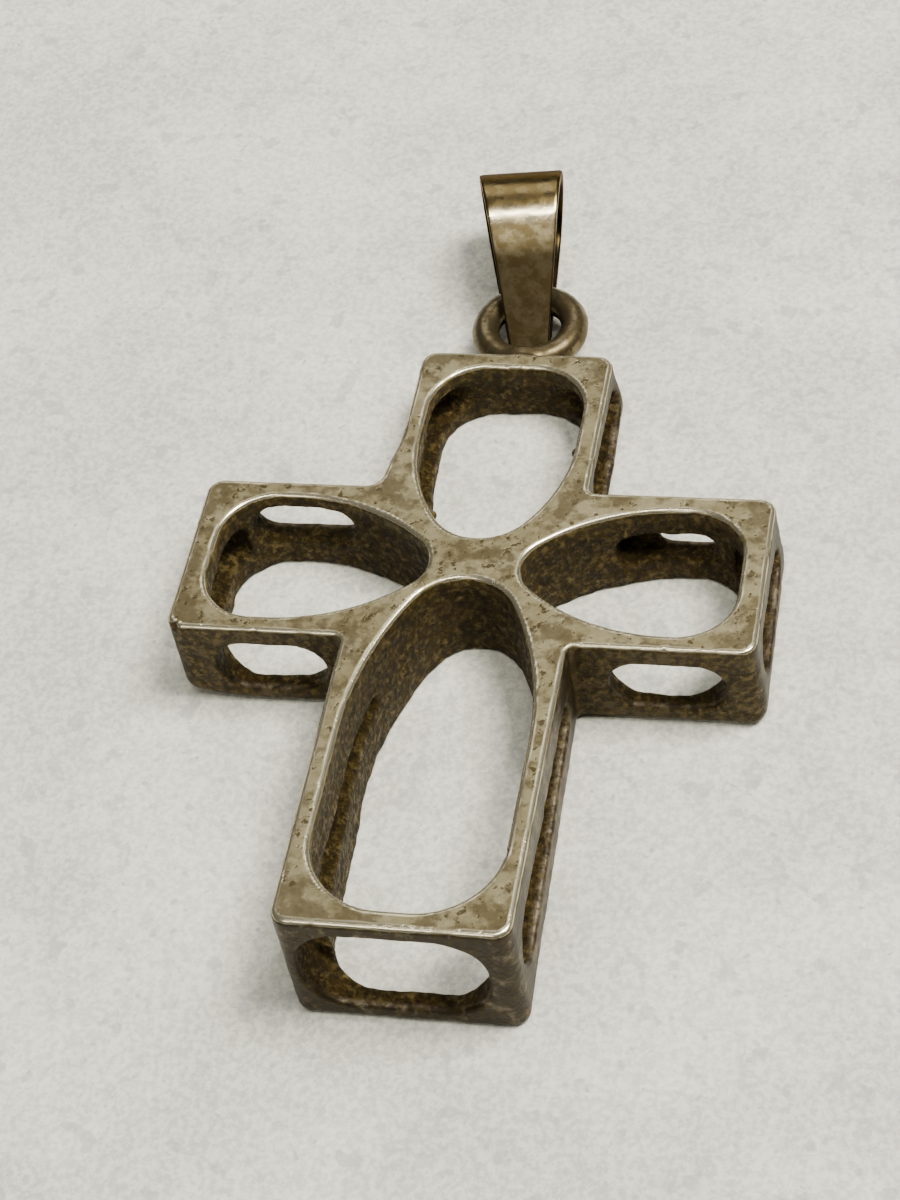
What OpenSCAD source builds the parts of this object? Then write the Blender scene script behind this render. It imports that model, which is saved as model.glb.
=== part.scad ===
// Openwork silver cross pendant with a soldered jump ring and a folded bail.
// The cross lies on its back: +Y points to the bail, +Z out of the front face.
// The front and back faces are flat and close up towards the bail, so the side view is a wedge.

/* [Cross] */
// Width over both arms
cross_w = 28; // [26:0.5:32]
// Height from the bottom end to the top end, along the front face
cross_h = 35; // [33:0.5:38]
// Width of the stem, below the arms
stem_w = 10.7; // [10:0.1:11.4]
// Width of the top arm
top_w = 9.8; // [9.4:0.1:10.4]
// Height of the arms
arm_h = 9.6; // [9:0.1:10.4]
// Height of the arms' lower edge above the bottom end
arm_y = 16.1; // [15:0.1:17.5]
// Thickness at the bottom end
bottom_thk = 7.2; // [6.6:0.1:8]
// Thickness at the top end
top_thk = 3.3; // [3.1:0.1:4]
// Radius of the outline's outer corners
corner_r = 0.8; // [0.4:0.1:1]

/* [Front windows] */
// Wall between a window's end and the end of its arm
end_wall = 1.05; // [0.9:0.05:1.3]
// Wall between a window's side and the side of the stem or top arm
side_wall = 0.95; // [0.8:0.05:1.2]
// Wall between a window and the arm's upper edge or lower edge
arm_wall = 1; // [0.8:0.05:1.2]
// Half the distance between the two arm windows' tips
tip_gap = 2.1; // [1.9:0.1:2.4]
// Height of the stem window's tip above the bottom end
stem_tip_y = 19.9; // [19.2:0.1:20.2]
// Height of the top window's tip above the bottom end
top_tip_y = 22.6; // [22.3:0.1:23.2]

/* [Side windows] */
// Metal left in front of and behind the stem's side windows
stem_rim = 1.6; // [1.4:0.05:1.7]
// Metal left in front of and behind the arms' side windows
rim = 1.15; // [0.9:0.05:1.2]
// Metal left in front of and behind the top arm's side windows
top_rim = 0.9; // [0.8:0.05:1]

/* [Jump ring] */
// Diameter of the ring's wire
wire_d = 1.4; // [1.2:0.05:1.45]
// Diameter of the ring over the wire
ring_d = 6; // [5.9:0.1:6.2]
// Depth of the ring's middle below the front face
ring_depth = 1.15; // [1.05:0.05:1.25]

/* [Bail] */
// Radius of the crown, over the strip
crown_r = 2.8; // [2.75:0.05:2.85]
// Radius of the foot, over the strip
foot_r = 0.8; // [0.7:0.05:0.8]
// Thickness of the strip
strip_t = 0.6; // [0.45:0.05:0.6]
// Distance from the foot's middle to the crown's middle
bail_l = 7; // [6.9:0.1:7.2]
// Width of the strip at the crown
crown_w = 4.4; // [3.8:0.1:4.6]
// Width of the strip at the foot
foot_w = 1.8; // [1.4:0.1:1.8]
// Slope of the bail's centre line as it lies
bail_slope = 17; // [16.8:0.1:17]
// Turn of the bail to the left as it lies
bail_turn = 8.7; // [6:0.1:10]
// Roll of the bail onto its right edge as it lies
bail_roll = 5; // [3:0.5:5]

/* [Hidden] */
$fn = 96;
// Overlap of shapes that are joined or cut
lap = 0.5;
// Tiny amount by which one of two touching outlines is tucked into the other
tuck = 0.002;

// Slope of the front face once the back face lies flat
tilt = atan((bottom_thk - top_thk) / cross_h);
// Depth by which the ring's wire is sunk into the solder on the top end
ring_sink = 0.1;
ring_r = (ring_d - wire_d) / 2;
ring_y = cross_h + wire_d / 2 - ring_sink + ring_r;
// Width of the blob of solder under the ring
solder_d = 1.7;

// Springing lines and tip radii of the windows' arches
stem_arch = 9.3;
top_arch = 6.4;
arm_arch = 7.2;
wide_tip_r = 2.7;
arm_tip_r = 1.75;
stem_window_corner = 3;
window_corner = 2.5;

// Places of the side windows along the cross
stem_slot = [1.35, 14.6];
top_slot = [26.3, 33.9];
arm_low_slot = [6.4, 12.3];
arm_high_slot = [6.4, 11.9];
arm_end_slot = [17.6, 24.2];
bottom_window = [8.6, 5.3];
bottom_window_x = -0.3;
bottom_window_corner = 2.3;

// Place of the foot in the ring's hole
foot_x = -0.05;
foot_y = 37.7;
// Height of the foot's middle at which the crown's right edge rests on the ground
edge_drop = sin(bail_roll) * cos(bail_slope) / 2;
edge_rise = sin(bail_slope) - edge_drop * (crown_w - foot_w) / (bail_l + crown_r + foot_r);
foot_z = crown_r * norm([edge_rise, cos(bail_slope) * cos(bail_roll)])
    + edge_drop * strip_w(bail_l) - bail_l * sin(bail_slope);
// Reach of the crown's right edge beyond the bottom end, along the ground
crown_end = foot_y + bail_l * cos(bail_slope) * cos(bail_turn)
    + crown_w / 2 * (cos(bail_roll) * sin(bail_turn) + sin(bail_roll) * sin(bail_slope) * cos(bail_turn))
    + crown_r * norm([cos(bail_slope) * cos(bail_turn),
        sin(bail_roll) * sin(bail_turn) - cos(bail_roll) * sin(bail_slope) * cos(bail_turn)]);

// Thickness of the cross at a height above its bottom end
function thk(y) = bottom_thk - (bottom_thk - top_thk) * y / cross_h;

// Width of the strip at a distance from the foot's middle
function strip_w(l) = foot_w + (crown_w - foot_w) * (l + foot_r) / (bail_l + crown_r + foot_r);

// Moves a shape from the front face's own frame, where z is 0 on the face, to the lying cross
module lay_down() {
    translate([0, -crown_end / 2, 0]) rotate([-tilt, 0, 0]) translate([0, 0, bottom_thk]) children();
}

module rounded_bar(w, h, r) {
    translate([-w / 2 + r, 0]) square([w - 2 * r, h]);
    translate([-w / 2, r]) square([w, h - 2 * r]);
    for (x = [-w / 2 + r, w / 2 - r], y = [r, h - r]) translate([x, y]) circle(r);
}

// Two circles joined by their outer tangents, the first at the origin
module taper(l, r1, r2) {
    a = asin((r1 - r2) / l);
    circle(r1);
    translate([l, 0]) circle(r2);
    polygon([for (e = [[0, r1 - tuck, -1], [l, r2 - tuck, -1], [l, r2 - tuck, 1], [0, r1 - tuck, 1]])
        [e[0] + e[1] * sin(a), e[2] * e[1] * cos(a)]]);
}

// A window with its rounded square end at y = 0 and a three-centred arch at y = l
module window(w, l, arch, tip_r, corner) {
    a = w / 2;
    side_r = (a * a + (arch - tip_r) * (arch - tip_r) - tip_r * tip_r) / (2 * (a - tip_r));
    spring_y = l - arch;
    tip_y = l - tip_r;
    // Where the side arcs run into the tip's arc
    meet_y = tip_y + tip_r * (tip_y - spring_y) / (side_r - tip_r);
    translate([-a + corner, 0]) square([w - 2 * corner, corner]);
    translate([-a, corner]) square([w, spring_y - corner]);
    for (x = [-a + corner, a - corner]) translate([x, corner]) circle(corner);
    intersection() {
        translate([side_r - a + tuck, spring_y]) circle(side_r, $fn = 360);
        translate([a - side_r - tuck, spring_y]) circle(side_r, $fn = 360);
        translate([-w, spring_y - lap]) square([2 * w, meet_y - spring_y + lap]);
    }
    translate([0, tip_y]) circle(tip_r - 2 * tuck);
}

module front_outline() {
    rounded_bar(stem_w, arm_y + arm_h / 2, corner_r);
    translate([0, arm_y]) rounded_bar(top_w, cross_h - arm_y, corner_r);
    translate([0, arm_y]) rounded_bar(cross_w, arm_h, corner_r);
}

module front_windows() {
    arm_window_w = arm_h - 2 * arm_wall;
    translate([0, end_wall])
        window(stem_w - 2 * side_wall, stem_tip_y - end_wall, stem_arch, wide_tip_r, stem_window_corner);
    translate([0, cross_h - end_wall]) rotate(180)
        window(top_w - 2 * side_wall, cross_h - end_wall - top_tip_y, top_arch, wide_tip_r, window_corner);
    for (side = [-1, 1]) translate([side * (cross_w / 2 - end_wall), arm_y + arm_h / 2]) rotate(side * 90)
        window(arm_window_w, cross_w / 2 - end_wall - tip_gap, arm_arch, arm_tip_r, window_corner);
}

// A side window seen along x, between two heights, which narrows as the cross gets thinner
module long_slot(ends, edge) {
    r1 = thk(ends[0]) / 2 - edge;
    r2 = thk(ends[1]) / 2 - edge;
    y1 = ends[0] + r1;
    y2 = ends[1] - r2;
    drop = (thk(y1) - thk(y2)) / 2;
    translate([y1, -thk(y1) / 2]) rotate(atan(drop / (y2 - y1)))
        taper(norm([y2 - y1, drop]), r1, r2);
}

// A side window seen along y, with both ends alike
module level_slot(ends, at_y) {
    r = thk(at_y) / 2 - rim;
    translate([ends[0] + r, -thk(at_y) / 2]) taper(ends[1] - ends[0] - 2 * r, r, r);
}

module side_windows() {
    arm_top = arm_y + arm_h;
    wall = arm_wall + lap;
    // Both sides of the stem, and both sides of the top arm
    rotate([90, 0, 90]) {
        linear_extrude(stem_w + 2 * lap, center = true) long_slot(stem_slot, stem_rim);
        linear_extrude(top_w + 2 * lap, center = true) long_slot(top_slot, top_rim);
    }
    for (side = [-1, 1]) {
        // The end of each arm
        translate([side * (cross_w / 2 - end_wall / 2), 0, 0]) rotate([90, 0, 90])
            linear_extrude(end_wall + 2 * lap, center = true) long_slot(arm_end_slot, rim);
        // The lower and upper side of each arm
        mirror([side < 0 ? 1 : 0, 0, 0]) {
            translate([0, arm_y + wall - lap / 2, 0]) rotate([90, 0, 0])
                linear_extrude(wall + lap) level_slot(arm_low_slot, arm_y);
            translate([0, arm_top + lap, 0]) rotate([90, 0, 0])
                linear_extrude(wall + lap) level_slot(arm_high_slot, arm_top);
        }
    }
    // The bottom end
    translate([bottom_window_x, end_wall + lap, -(thk(0) + bottom_window[1]) / 2]) rotate([90, 0, 0])
        linear_extrude(end_wall + 2 * lap) rounded_bar(bottom_window[0], bottom_window[1], bottom_window_corner);
}

module wedge() {
    rotate([90, 0, 90]) linear_extrude(cross_w, center = true)
        polygon([[0, 0], [0, -bottom_thk], [cross_h, -top_thk], [cross_h, 0]]);
}

module jump_ring() {
    translate([0, ring_y, -ring_depth]) rotate_extrude() translate([ring_r, 0]) circle(wire_d / 2);
    translate([0, cross_h + wire_d / 2, -ring_depth]) rotate([90, 0, 0])
        cylinder(d = solder_d, h = wire_d / 2 + lap);
}

module cross_frame() {
    color("silver") lay_down() {
        difference() {
            intersection() {
                translate([0, 0, -bottom_thk]) linear_extrude(bottom_thk) front_outline();
                wedge();
            }
            translate([0, 0, -bottom_thk - lap]) linear_extrude(bottom_thk + 2 * lap) front_windows();
            side_windows();
        }
        jump_ring();
    }
}

module bail() {
    color("darkgray") translate([foot_x, foot_y - crown_end / 2, foot_z]) rotate([0, 0, bail_turn])
        rotate([bail_slope, 0, 0]) rotate([0, bail_roll, 0]) intersection() {
            rotate([90, 0, 90]) linear_extrude(crown_w + lap, center = true) difference() {
                taper(bail_l, foot_r, crown_r);
                taper(bail_l, foot_r - strip_t, crown_r - strip_t);
            }
            strip_plan();
        }
}

// The strip seen from above: narrow at the foot and wide at the crown
module strip_plan() {
    far = bail_l + crown_r;
    translate([0, 0, -crown_r]) linear_extrude(2 * crown_r)
        polygon([[-foot_w / 2, -foot_r], [foot_w / 2, -foot_r], [crown_w / 2, far], [-crown_w / 2, far]]);
}

cross_frame();
bail();
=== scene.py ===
"""Dresses the openwork silver cross pendant, which lies on pale paper with its bail behind it.

The cross is netted from the distances to its casting, in millimetres and in the front face's own frame:
x runs to the right, y up from the bottom end and z out of the face, which is at z = 0. Every mesh is in
metres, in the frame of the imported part.
"""

import logging
import math
from dataclasses import dataclass
from enum import Enum
from typing import Callable

import bpy
import numpy as np
from mathutils import Matrix, Vector


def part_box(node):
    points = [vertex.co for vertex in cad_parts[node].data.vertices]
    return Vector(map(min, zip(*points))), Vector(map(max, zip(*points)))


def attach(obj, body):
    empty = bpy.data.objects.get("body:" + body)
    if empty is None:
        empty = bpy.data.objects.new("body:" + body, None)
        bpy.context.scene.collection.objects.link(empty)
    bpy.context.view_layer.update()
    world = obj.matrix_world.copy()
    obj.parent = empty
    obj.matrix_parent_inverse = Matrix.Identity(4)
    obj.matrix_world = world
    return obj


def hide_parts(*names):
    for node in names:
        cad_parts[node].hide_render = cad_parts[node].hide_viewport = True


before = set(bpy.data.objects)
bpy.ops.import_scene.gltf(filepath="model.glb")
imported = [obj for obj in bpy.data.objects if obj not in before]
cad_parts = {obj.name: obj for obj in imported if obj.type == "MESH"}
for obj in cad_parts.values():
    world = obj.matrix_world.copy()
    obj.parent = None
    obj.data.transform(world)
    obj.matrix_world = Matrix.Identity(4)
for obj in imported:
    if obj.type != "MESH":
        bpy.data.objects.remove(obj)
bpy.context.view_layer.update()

logging.basicConfig(level=logging.INFO, format="%(message)s")
log = logging.getLogger("pendant")

MM = 0.001
Shape = Callable[[np.ndarray, np.ndarray, np.ndarray], np.ndarray]
Colour = tuple[float, float, float]
Pair = tuple[float, float]


class Mark(Enum):
    """What a small mark does to the metal."""

    DENT = -1
    BUMP = 1


class Wall(Enum):
    """The two long walls of an arm."""

    LOWER = 0
    UPPER = 1


class Socket(Enum):
    """Kinds of sockets on a node group."""

    NUMBER = "NodeSocketFloat"
    VECTOR = "NodeSocketVector"
    GEOMETRY = "NodeSocketGeometry"
    MATERIAL = "NodeSocketMaterial"


# Distances to shapes, and the blends between them


def ease(x: np.ndarray, start: float, end: float) -> np.ndarray:
    """Smooth step from 0 at the start to 1 at the end, which may be the lower of the two."""
    t = np.clip((x - start) / (end - start), 0, 1)
    return t * t * (3 - 2 * t)


def rounded_cut(a: np.ndarray, b: np.ndarray, radius: float | np.ndarray) -> np.ndarray:
    """What two shapes share, with the edge between them rounded.

    Args:
        a: signed distance to the first shape, negative inside.
        b: signed distance to the second shape.
        radius: radius of the rounded edge.

    Returns:
        The signed distance to the shared part.
    """
    corner = np.hypot(np.maximum(a + radius, 0), np.maximum(b + radius, 0))
    return np.minimum(np.maximum(a, b), -radius) + corner


def filleted_join(a: np.ndarray, b: np.ndarray, radius: float | np.ndarray) -> np.ndarray:
    """Both shapes together, with the inner corner between them filled.

    Args:
        a: signed distance to the first shape, negative inside.
        b: signed distance to the second shape.
        radius: radius of the fillet.

    Returns:
        The signed distance to the joined shape.
    """
    return -rounded_cut(-a, -b, radius)


def bar(u: np.ndarray, v: np.ndarray, half_u: float, half_v: float, corner: float) -> np.ndarray:
    """Signed distance to a rectangle about the origin, with half its sizes and its corners' radius."""
    return rounded_cut(np.abs(u) - half_u, np.abs(v) - half_v, corner)


def taper(u: np.ndarray, v: np.ndarray, length: float, r1: float, r2: float) -> np.ndarray:
    """Signed distance to two circles joined by their outer tangents.

    Args:
        u, v: place along and across the shape, from the first circle's middle.
        length: distance between the circles' middles.
        r1, r2: the circles' radii.

    Returns:
        The signed distance, negative inside.
    """
    v = np.abs(v)
    lean = (r1 - r2) / length
    rise = math.sqrt(1 - lean * lean)
    along = u * rise - v * lean
    side = v * rise + u * lean - r1
    first = np.hypot(u, v) - r1
    second = np.hypot(u - length, v) - r2
    return np.where(along < 0, first, np.where(along > rise * length, second, side))


def slope(shape: Shape, points: np.ndarray, reach: float = 0.02) -> np.ndarray:
    """Unit normals of a shape at some points.

    Args:
        shape: signed distance, negative inside.
        points: places to measure at.
        reach: distance over which the change is measured.

    Returns:
        A unit vector for each point.
    """
    out = np.empty_like(points)
    for axis in range(3):
        shift = np.zeros(3)
        shift[axis] = reach
        out[:, axis] = shape(*(points + shift).T) - shape(*(points - shift).T)
    return out / np.maximum(np.linalg.norm(out, axis=1, keepdims=True), 1e-9)


def bending(shape: Shape, points: np.ndarray, reach: float) -> np.ndarray:
    """How convex a shape is at some points: above 0 on edges and below 0 in corners.

    Args:
        shape: signed distance, negative inside.
        points: places to measure at.
        reach: distance over which the bend is measured.

    Returns:
        One over the bend's radius, summed over both directions.
    """
    total = -6 * shape(*points.T)
    for axis in range(3):
        shift = np.zeros(3)
        shift[axis] = reach
        total = total + shape(*(points + shift).T) + shape(*(points - shift).T)
    return total / reach**2


def sides(shape: Shape, low: np.ndarray, high: np.ndarray, step: float, block: int = 4) -> np.ndarray:
    """Finds which points of a grid lie inside a shape, and skips the blocks that its surface can't cross.

    Args:
        shape: signed distance, negative inside.
        low, high: corners of the box to search.
        step: distance between points.
        block: points along the side of a block.

    Returns:
        True for each point of the grid that is inside.
    """
    first, stride = low + (block - 1) / 2 * step, block * step
    middles = [np.arange(first[i], high[i] + stride, stride) for i in range(3)]
    away = shape(*np.meshgrid(*middles, indexing="ij"))
    for axis in range(3):
        away = away.repeat(block, axis)
    near = np.abs(away) < stride
    away[near] = shape(*(np.argwhere(near) * step + low).T)
    return away < 0


def even_out(shape: Shape, points: np.ndarray, quads: np.ndarray, rounds: int = 3) -> np.ndarray:
    """Moves a net's vertices along the surface towards the middle of their neighbours.

    Args:
        shape: signed distance, negative inside.
        points: the vertices.
        quads: vertex numbers of each face.
        rounds: how often to do it.

    Returns:
        The vertices, back on the surface.
    """
    start, end = np.concatenate([quads[:, [i, (i + 1) % 4]] for i in range(4)]).T
    count = np.maximum(np.bincount(start, minlength=len(points)), 1)
    for _ in range(rounds):
        middle = np.stack([np.bincount(start, points[end, k], len(points)) / count for k in range(3)], axis=1)
        normal = slope(shape, points)
        shift = middle - points
        points = points + 0.5 * (shift - normal * (shift * normal).sum(1, keepdims=True))
        points = points - normal * shape(*points.T)[:, None]
    return points


def net(shape: Shape, low: np.ndarray, high: np.ndarray, step: float) -> tuple[np.ndarray, np.ndarray]:
    """Nets a shape's surface with one vertex for each cell that it crosses.

    Args:
        shape: signed distance, negative inside.
        low, high: corners of the box to search.
        step: side of a cell.

    Returns:
        The vertices and the quads, which face outwards.
    """
    inside = sides(shape, low, high, step)
    counts = [n - 1 for n in inside.shape]
    corners = np.zeros(counts, np.int8)
    for i, j, k in np.ndindex(2, 2, 2):
        corners += inside[i : i + counts[0], j : j + counts[1], k : k + counts[2]]
    crossed = (corners > 0) & (corners < 8)
    index = np.full(counts, -1)
    index[crossed] = np.arange(crossed.sum())
    points = (np.argwhere(crossed) + 0.5) * step + low
    for _ in range(3):
        away = np.clip(shape(*points.T), -step, step)
        points = points - slope(shape, points) * away[:, None]
    found = []
    for axis in range(3):
        before = np.take(inside, range(inside.shape[axis] - 1), axis)
        after = np.take(inside, range(1, inside.shape[axis]), axis)
        cells = np.argwhere(before != after)
        leaving = before[tuple(cells.T)]
        b, c = (axis + 1) % 3, (axis + 2) % 3
        ring = []
        for db, dc in ((-1, -1), (0, -1), (0, 0), (-1, 0)):
            cell = cells.copy()
            cell[:, b] += db
            cell[:, c] += dc
            ring.append(index[tuple(cell.T)])
        quad = np.stack(ring, axis=1)
        quad[~leaving] = quad[~leaving][:, ::-1]
        found.append(quad)
    quads = np.concatenate(found)
    return even_out(shape, points, quads), quads


# Meshes and node trees


def add_object(name: str, data: bpy.types.ID) -> bpy.types.Object:
    """Puts a new object into the scene, at the origin.

    Args:
        name: the object's name.
        data: its mesh, curve, lamp or camera.

    Returns:
        The object.
    """
    obj = bpy.data.objects.new(name, data)
    bpy.context.scene.collection.objects.link(obj)
    return obj


def new_object(name: str, points: np.ndarray, faces: np.ndarray) -> bpy.types.Object:
    """A mesh object at the origin.

    Args:
        name: the object's name.
        points: vertices in metres.
        faces: vertex numbers of each quad.

    Returns:
        The object, linked to the scene and shaded smooth.
    """
    mesh = bpy.data.meshes.new(name)
    mesh.vertices.add(len(points))
    mesh.vertices.foreach_set("co", points.astype(np.float32).ravel())
    mesh.loops.add(faces.size)
    mesh.loops.foreach_set("vertex_index", faces.astype(np.int32).ravel())
    mesh.polygons.add(len(faces))
    mesh.polygons.foreach_set("loop_start", np.arange(0, faces.size, faces.shape[1], dtype=np.int32))
    mesh.update(calc_edges=True)
    mesh.validate()
    mesh.polygons.foreach_set("use_smooth", np.ones(len(mesh.polygons), bool))
    return add_object(name, mesh)


def put_masks(mesh: bpy.types.Mesh, masks: dict[str, np.ndarray]) -> None:
    """Stores masks on a mesh.

    Args:
        mesh: the mesh.
        masks: a number for each vertex, by the mask's name.
    """
    for name, values in masks.items():
        attribute = mesh.attributes.new(name, "FLOAT", "POINT")
        attribute.data.foreach_set("value", values.astype(np.float32))


def vertex_places(mesh: bpy.types.Mesh) -> np.ndarray:
    """Places of a mesh's vertices, in metres."""
    return np.array([vertex.co for vertex in mesh.vertices])


def put_normals(mesh: bpy.types.Mesh, exact: np.ndarray, share: np.ndarray) -> None:
    """Blends exact normals into a mesh's own ones.

    Args:
        mesh: the mesh.
        exact: a unit vector for each vertex.
        share: how much of it to use, from 0 to 1, for each vertex.
    """
    own = np.empty(len(mesh.vertices) * 3, np.float32)
    mesh.vertex_normals.foreach_get("vector", own)
    own = own.reshape(-1, 3)
    own = own + (exact - own) * share[:, None]
    mesh.normals_split_custom_set_from_vertices(own / np.linalg.norm(own, axis=1, keepdims=True))


class Tree:
    """Short ways to add nodes to a tree and to join them."""

    def __init__(self, tree: bpy.types.NodeTree) -> None:
        """Works on the given tree."""
        self.tree = tree

    def node(
        self, kind: str, inputs: dict[str | int, object] | None = None, **settings: object
    ) -> bpy.types.Node:
        """Adds a node.

        Args:
            kind: the node's type name.
            inputs: values or sockets for its inputs, by name or number.
            settings: its properties by name.

        Returns:
            The node.
        """
        node = self.tree.nodes.new(kind)
        for name, value in settings.items():
            setattr(node, name, value)
        for name, value in (inputs or {}).items():
            self.feed(node.inputs[name], value)
        return node

    def feed(self, socket: bpy.types.NodeSocket, value: object) -> None:
        """Links a socket to a value's socket, or sets it to the value.

        Args:
            socket: the input to feed.
            value: a node's output, a number or another plain value.
        """
        if isinstance(value, bpy.types.NodeSocket):
            self.tree.links.new(value, socket)
        elif socket.type == "VECTOR" and isinstance(value, float):
            socket.default_value = (value, value, value)
        else:
            socket.default_value = value

    def math(self, operation: str, a: object, b: object = 0.0) -> bpy.types.NodeSocket:
        """Adds a math node on two values and returns its result."""
        return self.node("ShaderNodeMath", {0: a, 1: b}, operation=operation).outputs[0]

    def times(self, a: object, b: object) -> bpy.types.NodeSocket:
        """One value times another."""
        return self.math("MULTIPLY", a, b)

    def less(self, a: object, b: object) -> bpy.types.NodeSocket:
        """One value less another."""
        return self.math("SUBTRACT", a, b)

    def most(self, a: object, b: object) -> bpy.types.NodeSocket:
        """The greater of two values."""
        return self.math("MAXIMUM", a, b)

    def step(self, value: object, low: object, high: object) -> bpy.types.NodeSocket:
        """Smooth step of a value from 0 at low to 1 at high."""
        inputs = {"Value": value, "From Min": low, "From Max": high}
        return self.node("ShaderNodeMapRange", inputs, interpolation_type="SMOOTHSTEP").outputs[0]

    def noise(self, place: object, grain: object, seed: object, detail: float = 4.0) -> bpy.types.NodeSocket:
        """Noise whose grain is a length in millimetres.

        Args:
            place: the point to read it at, in metres.
            grain: size of its largest spots.
            seed: chooses one pattern: a shift in metres.
            detail: number of finer layers.

        Returns:
            A number from 0 to 1.
        """
        scale = self.math("DIVIDE", 1 / MM, grain)
        spot = self.node("ShaderNodeVectorMath", {0: place, 1: seed}, operation="ADD").outputs[0]
        inputs = {"Vector": spot, "Scale": scale, "Detail": detail, "Roughness": 0.64}
        return self.node("ShaderNodeTexNoise", inputs).outputs[0]

    def mix(self, share: object, a: object, b: object) -> bpy.types.NodeSocket:
        """Blends two numbers."""
        return self.node("ShaderNodeMix", {0: share, 2: a, 3: b}, data_type="FLOAT").outputs[0]

    def tint(self, share: object, a: object, b: object) -> bpy.types.NodeSocket:
        """Blends two colours, each a socket or three numbers."""
        a, b = ((*c, 1.0) if isinstance(c, tuple) else c for c in (a, b))
        return self.node("ShaderNodeMix", {0: share, 6: a, 7: b}, data_type="RGBA").outputs[2]

    def mask(self, name: str) -> bpy.types.NodeSocket:
        """Reads one of the mesh's own attributes in a material."""
        return self.node("ShaderNodeAttribute", attribute_name=name).outputs["Fac"]

    def end(self, geometry: object, offset: object, finish: object) -> None:
        """Moves a tree's geometry, makes it real, dresses it and puts it out.

        Args:
            geometry: the geometry to finish.
            offset: how far each point moves.
            finish: the material.
        """
        moved = self.node("GeometryNodeSetPosition", {"Geometry": geometry, "Offset": offset}).outputs[0]
        real = self.node("GeometryNodeRealizeInstances", {0: moved}).outputs[0]
        dressed = self.node("GeometryNodeSetMaterial", {"Geometry": real, "Material": finish}).outputs[0]
        self.node("NodeGroupOutput", {0: dressed})

    def effect(self, group: bpy.types.NodeTree, place: object, **inputs: object) -> bpy.types.NodeOutputs:
        """Adds a shader node group, read at a place, and returns its outputs."""
        return self.node("ShaderNodeGroup", {"Place": place, **inputs}, node_tree=group).outputs

    def bump(self, height: object, depth: float) -> bpy.types.NodeSocket:
        """Bends the normal by a height whose full range is a depth in millimetres."""
        inputs = {"Height": height, "Distance": depth * MM, "Strength": 1.0}
        return self.node("ShaderNodeBump", inputs).outputs[0]


def new_group(
    name: str, kind: str, inputs: dict[str, Socket], outputs: dict[str, Socket]
) -> bpy.types.NodeTree:
    """Makes an empty node group with named inputs and outputs.

    Args:
        name: the group's name.
        kind: GeometryNodeTree or ShaderNodeTree.
        inputs: its inputs, by name.
        outputs: its outputs, by name.

    Returns:
        The group.
    """
    group = bpy.data.node_groups.new(name, kind)
    for direction, sockets in (("INPUT", inputs), ("OUTPUT", outputs)):
        for label, socket in sockets.items():
            group.interface.new_socket(label, in_out=direction, socket_type=socket.value)
    return group


def new_material(name: str) -> tuple[bpy.types.Material, Tree, bpy.types.NodeInputs]:
    """Makes a material with one Principled shader.

    Args:
        name: the material's name.

    Returns:
        The material, its tree and the shader's inputs.
    """
    made = bpy.data.materials.new(name)
    made.use_nodes = True
    return made, Tree(made.node_tree), made.node_tree.nodes["Principled BSDF"].inputs


def run_nodes(
    obj: bpy.types.Object, group: bpy.types.NodeTree, values: dict[str, object]
) -> bpy.types.Object:
    """Runs a geometry node group on an object and keeps the result as a plain mesh.

    Args:
        obj: the object to work on, which is removed afterwards.
        group: the geometry node group.
        values: the group's inputs by name.

    Returns:
        A new object with the same name.
    """
    modifier = obj.modifiers.new(group.name, "NODES")
    modifier.node_group = group
    for item in group.interface.items_tree:
        if item.item_type == "SOCKET" and item.in_out == "INPUT" and item.name in values:
            modifier[item.identifier] = values[item.name]
    graph = bpy.context.evaluated_depsgraph_get()
    result = obj.evaluated_get(graph)
    mesh = bpy.data.meshes.new_from_object(result, preserve_all_data_layers=True, depsgraph=graph)
    name = obj.name
    obj.modifiers.remove(modifier)
    bpy.data.objects.remove(obj)
    mesh.name = name
    return add_object(name, mesh)


# Effects that the finishes share


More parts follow.
